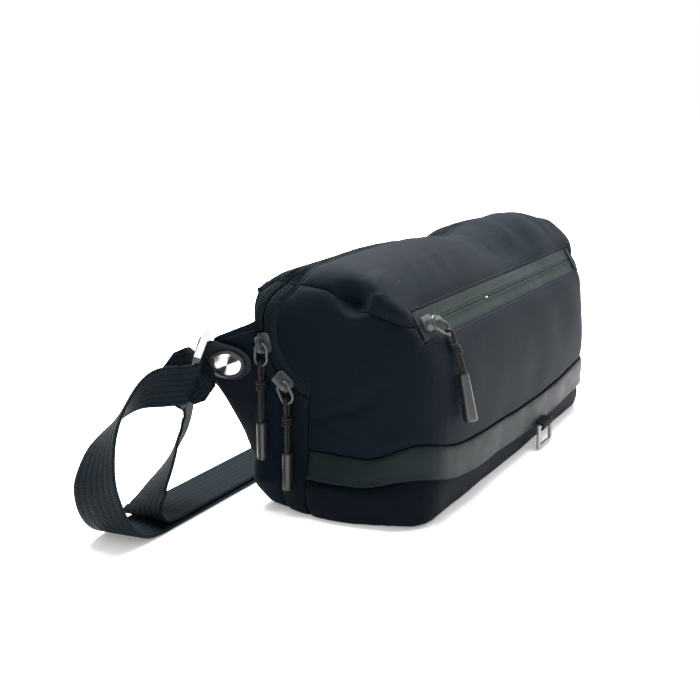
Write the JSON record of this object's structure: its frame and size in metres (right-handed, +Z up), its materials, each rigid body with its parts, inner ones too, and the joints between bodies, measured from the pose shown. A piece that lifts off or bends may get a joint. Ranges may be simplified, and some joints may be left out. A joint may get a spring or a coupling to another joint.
{
  "type": "sling bag",
  "caption": "Small padded sling bag with a coated front zip pocket, a two-way main zip, a shoulder strap of webbing and a metal buckle.",
  "frame": {"origin": "middle of the flat base that the bag stands on", "axes": "+X along the bag, away from the end with the strap buckle; -Y is the front with the coated zip, +Y the side worn against the body; +Z up"},
  "size_m": [0.437, 0.1733, 0.1378],
  "materials": {
    "coated_cloth": "dark navy black softshell cloth, matt",
    "hem_film": "satin coated band",
    "zip_film": "satin coated zip tape",
    "zip_tape": "woven polyester tape",
    "zip_coil": "nylon coil",
    "foam": "closed cell foam",
    "lining": "light woven lining",
    "gunmetal": "dark gunmetal, polished",
    "bright_metal": "radially brushed",
    "black_metal": "black, satin",
    "hook_metal": "grey, satin",
    "pull_cord": "braided cord",
    "pull_plastic": "satin moulded pull end",
    "webbing": "ribbed nylon webbing, slight shine"
  },
  "bodies": {
    "root": {"back_foam": "foam", "back_panel": "coated_cloth", "base_foam": "foam", "base_panel": "coated_cloth", "buckle_tab": "hem_film", "hem_band": "hem_film", "hook_strap": "webbing", "left_gusset": "coated_cloth", "left_wing": "coated_cloth", "lower_panel": "coated_cloth", "main_lining": "lining", "main_zip_coil_rear": "zip_coil", "main_zip_tape_rear": "zip_tape", "right_gusset": "coated_cloth", "right_strap_patch": "hem_film", "right_wing": "coated_cloth", "rivet_cap": "bright_metal", "rivet_ring": "black_metal", "rivet_shank": "black_metal", "slip_divider": "lining", "webbing_curl": "webbing", "webbing_floor_run": "webbing", "webbing_return_loop": "webbing", "webbing_right_fall": "webbing", "webbing_tail": "webbing", "webbing_tail_fold": "webbing"},
    "front_flap": {"front_panel": "coated_cloth", "top_panel": "coated_cloth", "front_foam": "foam", "front_lining": "lining", "front_pocket_bag": "lining", "main_zip_tape_front": "zip_tape", "main_zip_coil_front": "zip_coil", "front_zip_tape_lower": "zip_film", "front_zip_tape_upper": "zip_film", "front_zip_coil_lower": "zip_coil", "front_zip_coil_upper": "zip_coil", "front_zip_end_patches": "black_metal"},
    "front_zip_slider": {"front_slider": "gunmetal", "front_bridge": "gunmetal"},
    "front_zip_ring": {"front_ring": "gunmetal"},
    "front_zip_pull": {"front_cord": "pull_cord", "front_pull_end": "pull_plastic"},
    "upper_zip_slider": {"upper_slider": "gunmetal", "upper_bridge": "gunmetal"},
    "upper_zip_ring": {"upper_ring": "gunmetal"},
    "upper_zip_pull": {"upper_cord": "pull_cord", "upper_pull_end": "pull_plastic"},
    "lower_zip_slider": {"lower_slider": "gunmetal", "lower_bridge": "gunmetal"},
    "lower_zip_ring": {"lower_ring": "gunmetal"},
    "lower_zip_pull": {"lower_cord": "pull_cord", "lower_pull_end": "pull_plastic"},
    "buckle": {"strap_buckle": "gunmetal", "webbing_wrap": "webbing"},
    "hook": {"hook_frame": "hook_metal"}
  },
  "joints": [
    {"name": "flap_open", "type": "hinge", "parent": "root", "child": "front_flap", "pos_m": [0, -0.053, 0.038], "axis": [1, 0, 0], "range_deg": [0, 22]},
    {"name": "front_zip_run", "type": "slide", "parent": "front_flap", "child": "front_zip_slider", "axis": [1, 0, 0], "range_m": [0, 0.245]},
    {"name": "front_ring_swing", "type": "hinge", "parent": "front_zip_slider", "child": "front_zip_ring", "pos_m": [-0.1225, -0.04188, 0.10687], "axis": [-0.5299, -0.4343, -0.7284], "range_deg": [0, 100]},
    {"name": "front_pull_swing", "type": "hinge", "parent": "front_zip_ring", "child": "front_zip_pull", "pos_m": [-0.1127, -0.04704, 0.09822], "axis": [-0.998, -0.0324, -0.0544], "range_deg": [0, 60]},
    {"name": "upper_zip_run", "type": "hinge", "parent": "root", "child": "upper_zip_slider", "pos_m": [-0.148, 0.008, 0.1], "axis": [1, 0, 0], "range_deg": [-2, 10]},
    {"name": "upper_ring_swing", "type": "hinge", "parent": "upper_zip_slider", "child": "upper_zip_ring", "pos_m": [-0.15165, 0.04308, 0.0919], "axis": [0, 1, 0], "range_deg": [0, 100]},
    {"name": "upper_pull_swing", "type": "hinge", "parent": "upper_zip_ring", "child": "upper_zip_pull", "pos_m": [-0.15165, 0.04308, 0.0804], "axis": [0, 1, 0], "range_deg": [0, 60]},
    {"name": "lower_zip_run", "type": "hinge", "parent": "root", "child": "lower_zip_slider", "pos_m": [-0.148, 0.008, 0.1], "axis": [1, 0, 0], "range_deg": [-3, 6]},
    {"name": "lower_ring_swing", "type": "hinge", "parent": "lower_zip_slider", "child": "lower_zip_ring", "pos_m": [-0.15165, 0.03114, 0.07242], "axis": [0, 0.9063, -0.4226], "range_deg": [0, 100]},
    {"name": "lower_pull_swing", "type": "hinge", "parent": "lower_zip_ring", "child": "lower_zip_pull", "pos_m": [-0.15165, 0.02778, 0.06167], "axis": [0, 1, 0], "range_deg": [0, 60]},
    {"name": "buckle_tilt", "type": "hinge", "parent": "root", "child": "buckle", "pos_m": [-0.1645, 0.0725, 0.086], "axis": [0.2981, 0.4923, -0.8178], "range_deg": [-8, 8], "deforming": ["webbing_curl", "webbing_return_loop"]},
    {"name": "hook_swing", "type": "hinge", "parent": "root", "child": "hook", "pos_m": [0.03, -0.0559, 0.0145], "axis": [-1, 0, 0], "range_deg": [0, 95]}
  ]
}
